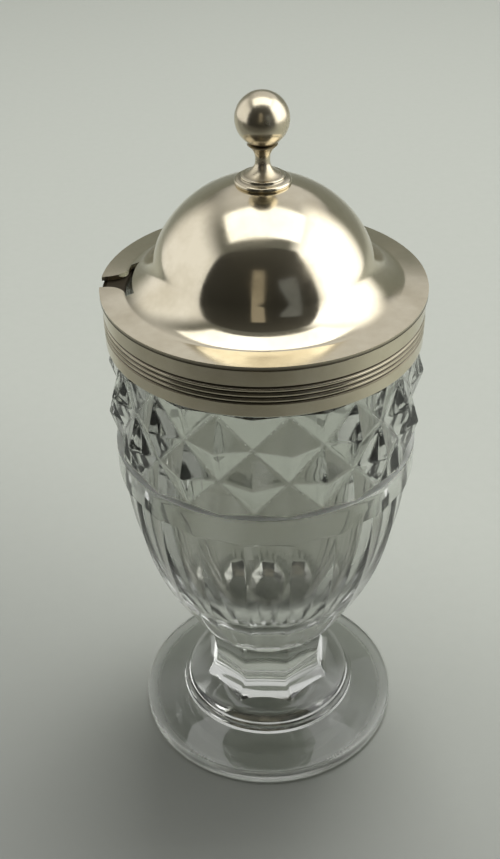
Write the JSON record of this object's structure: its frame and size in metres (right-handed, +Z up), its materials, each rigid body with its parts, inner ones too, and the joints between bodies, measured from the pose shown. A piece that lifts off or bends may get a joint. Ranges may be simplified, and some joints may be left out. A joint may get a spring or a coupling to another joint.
{
  "type": "mustard pot",
  "caption": "Cut-glass mustard pot on a round foot, with a reeded silver collar and a hinged domed silver cover that has a ball finial and a spoon notch.",
  "frame": {"origin": "centre of the foot's underside, on the pot's axis", "axes": "+Z up along the axis; the front faces -Y, the spoon notch is at -X and the hinge is at the back on +Y"},
  "size_m": [0.0524, 0.0548, 0.1236],
  "materials": {
    "cut_glass": "clear polished cut lead glass",
    "plaster": "matt plaster of Paris",
    "silver": "polished silver with fine wear",
    "inner_silver": "silver left less polished inside",
    "hinge_wire": "drawn silver wire"
  },
  "bodies": {
    "pot": {"glass_body": "cut_glass", "plaster_bed": "plaster", "collar_band": "silver", "seat_ring": "inner_silver", "collar_hinge_plate": "silver", "collar_knuckle_left": "silver", "collar_knuckle_middle": "silver", "collar_knuckle_right": "silver", "hinge_pin": "hinge_wire"},
    "lid": {"lid_cover": "silver", "lid_bezel": "inner_silver", "lid_hinge_plate": "silver", "lid_knuckle_left": "silver", "lid_knuckle_right": "silver", "finial_foot": "silver", "finial_spool": "silver", "finial_ball": "silver", "finial_stud": "hinge_wire", "finial_washer": "inner_silver", "finial_nut": "inner_silver"}
  },
  "joints": [
    {"name": "lid_hinge", "type": "hinge", "parent": "pot", "child": "lid", "pos_m": [0, 0.02745, 0.0921], "axis": [-1, 0, 0], "range_deg": [0, 110]}
  ]
}
